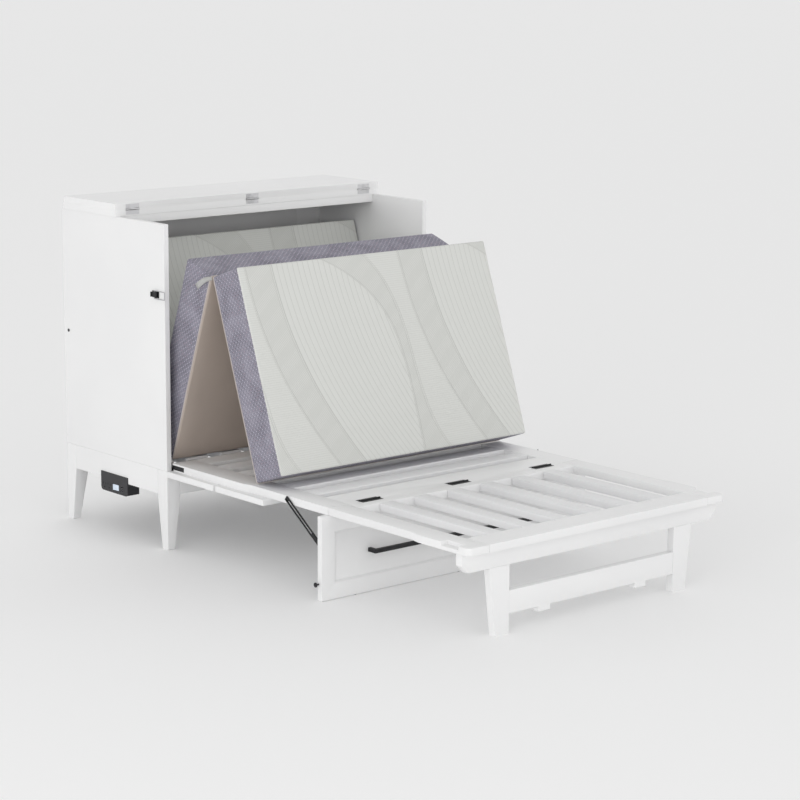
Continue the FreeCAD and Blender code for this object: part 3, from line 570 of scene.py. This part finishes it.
def makeTail():
    s = tail
    bm = bmesh.new()
    uvLayer = bm.loops.layers.uv.new("cloth")
    rows = []
    for step in range(s["steps"] + 1):
        t = step / s["steps"]
        middle = Vector(s["start"]) + Vector((-s["long"] * t, s["back"] * t, -s["drop"] * t * t))
        half = s["wide"] / 2 * (1 + s["flare"] * t)
        lean = math.radians(s["lean"] + s["twist"] * t)
        across = Vector((s["outward"], math.cos(lean) * s["slant"], math.sin(lean))) * half
        fork = max(0.0, (t - s["forkFrom"]) / (1 - s["forkFrom"]))
        pull = Vector((0, -s["notch"] * fork, 0))
        rows.append([bm.verts.new(middle + offset) for offset in (-across, pull, across)])
    for near, far in zip(rows, rows[1:]):
        for side in (0, 1):
            bm.faces.new((near[side], near[side + 1], far[side + 1], far[side]))
    for face in bm.faces:
        face.smooth = True
        for loop in face.loops:
            loop[uvLayer].uv = (loop.vert.co.x, loop.vert.co.y + loop.vert.co.z)
    bmesh.ops.solidify(bm, geom=bm.faces, thickness=s["thick"])
    bmesh.ops.recalc_face_normals(bm, faces=bm.faces)
    mesh = bpy.data.meshes.new("mattressTail")
    bm.to_mesh(mesh)
    bm.free()
    return finishPiece(mesh, "mattressTail", "mattress_middle", "mattress_fabric", tapeCloth)


tailPiece = makeTail()
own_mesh(tailPiece)

# Small caps over the screws that hold the slats of the middle section.
screwCap = {"radius": 0.0042, "taper": 0.8, "proud": 0.0009, "fromEnd": 0.028, "sides": 20, "near": 0.0005}


def makeScrewCaps(name, node, material):
    s = screwCap
    low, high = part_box(node)
    mesh = frame["nodes"][node].data
    middleX = (low.x + high.x) / 2
    lines = sorted({round(vertex.co.y, 3) for vertex in mesh.vertices
                    if abs(vertex.co.z - high.z) < s["near"] and vertex.co.x < middleX})
    bm = bmesh.new()
    for start, end in zip(lines[::2], lines[1::2]):
        for x in (low.x + s["fromEnd"], high.x - s["fromEnd"]):
            place = Matrix.Translation((x, (start + end) / 2, high.z))
            bmesh.ops.create_cone(bm, cap_ends=True, segments=s["sides"], radius1=s["radius"],
                                  radius2=s["radius"] * s["taper"], depth=s["proud"] * 2, matrix=place)
    for face in bm.faces:
        face.smooth = abs(face.normal.z) < 0.9
    mesh = bpy.data.meshes.new(name)
    bm.to_mesh(mesh)
    bm.free()
    return finishPiece(mesh, name, bodyOf[node], slotOf[node], material)


makeScrewCaps("middleScrewCaps", "middle_slats", whitePaint)
print("mattress made")

# A pale floor and sky, two large lamps and the camera.
stageSet = {
    "floorSize": 120.0, "floorColour": rgb(0.97, 0.97, 0.97), "floorRoughness": 0.85,
    "horizon": 1.34, "zenith": 0.54,
    "lamps": (
        ("sideLight", (-6.5, -3.6, 1.6), (0, 0.1, 0.6), 3.0, 76.0),
        ("frontLight", (-0.5, -9.5, 1.7), (0, 0.6, 0.8), 3.6, 34.0),
    ),
}
bm = bmesh.new()
bmesh.ops.create_grid(bm, x_segments=1, y_segments=1, size=stageSet["floorSize"])
floorMesh = bpy.data.meshes.new("floor")
bm.to_mesh(floorMesh)
bm.free()
floor = bpy.data.objects.new("floor", floorMesh)
scene.collection.objects.link(floor)
floorPaint = Paint("floorPaint")
floorPaint.finish(baseColor=stageSet["floorColour"], roughness=stageSet["floorRoughness"])
floorMesh.materials.append(floorPaint.material)

world = bpy.data.worlds.new("studio")
world.use_nodes = True
sky = world.node_tree
direction = sky.nodes.new("ShaderNodeTexCoord")
height = sky.nodes.new("ShaderNodeSeparateXYZ")
fade = sky.nodes.new("ShaderNodeMapRange")
sky.links.new(direction.outputs["Generated"], height.inputs[0])
sky.links.new(height.outputs[2], fade.inputs[0])
for index, value in enumerate((0.0, 1.0, stageSet["horizon"], stageSet["zenith"]), 1):
    fade.inputs[index].default_value = value
sky.nodes["Background"].inputs[0].default_value = rgb(1.0, 1.0, 1.0)
sky.links.new(fade.outputs[0], sky.nodes["Background"].inputs[1])
scene.world = world


def softLight(name, place, target, size, power):
    data = bpy.data.lights.new(name, "AREA")
    data.shape = "SQUARE"
    data.size = size
    data.energy = power
    lamp = bpy.data.objects.new(name, data)
    scene.collection.objects.link(lamp)
    lamp.location = place
    lamp.rotation_euler = (Vector(target) - Vector(place)).to_track_quat("-Z", "Y").to_euler()


for lamp in stageSet["lamps"]:
    softLight(*lamp)

view = {
    "place": (-4.7707, -5.6613, 1.9228), "azimuth": -40.562, "elevation": 11.107, "roll": 0.263,
    "lens": 110.6, "sensor": 36.0, "clipEnd": 400.0,
}
turn = math.radians(view["azimuth"])
rise = math.radians(view["elevation"])
roll = math.radians(view["roll"])
back = Vector((math.sin(turn) * math.cos(rise), -math.cos(turn) * math.cos(rise), math.sin(rise)))
right = Vector((math.cos(turn), math.sin(turn), 0))
upward = back.cross(right)
axisX = right * math.cos(roll) + upward * math.sin(roll)
axisY = upward * math.cos(roll) - right * math.sin(roll)
cameraData = bpy.data.cameras.new("camera")
cameraData.lens = view["lens"]
cameraData.sensor_width = view["sensor"]
cameraData.clip_end = view["clipEnd"]
camera = bpy.data.objects.new("camera", cameraData)
scene.collection.objects.link(camera)
placing = Matrix((axisX, axisY, back)).transposed().to_4x4()
placing.translation = Vector(view["place"])
camera.matrix_world = placing
scene.camera = camera
scene.view_settings.view_transform = "Standard"
print("stage set")
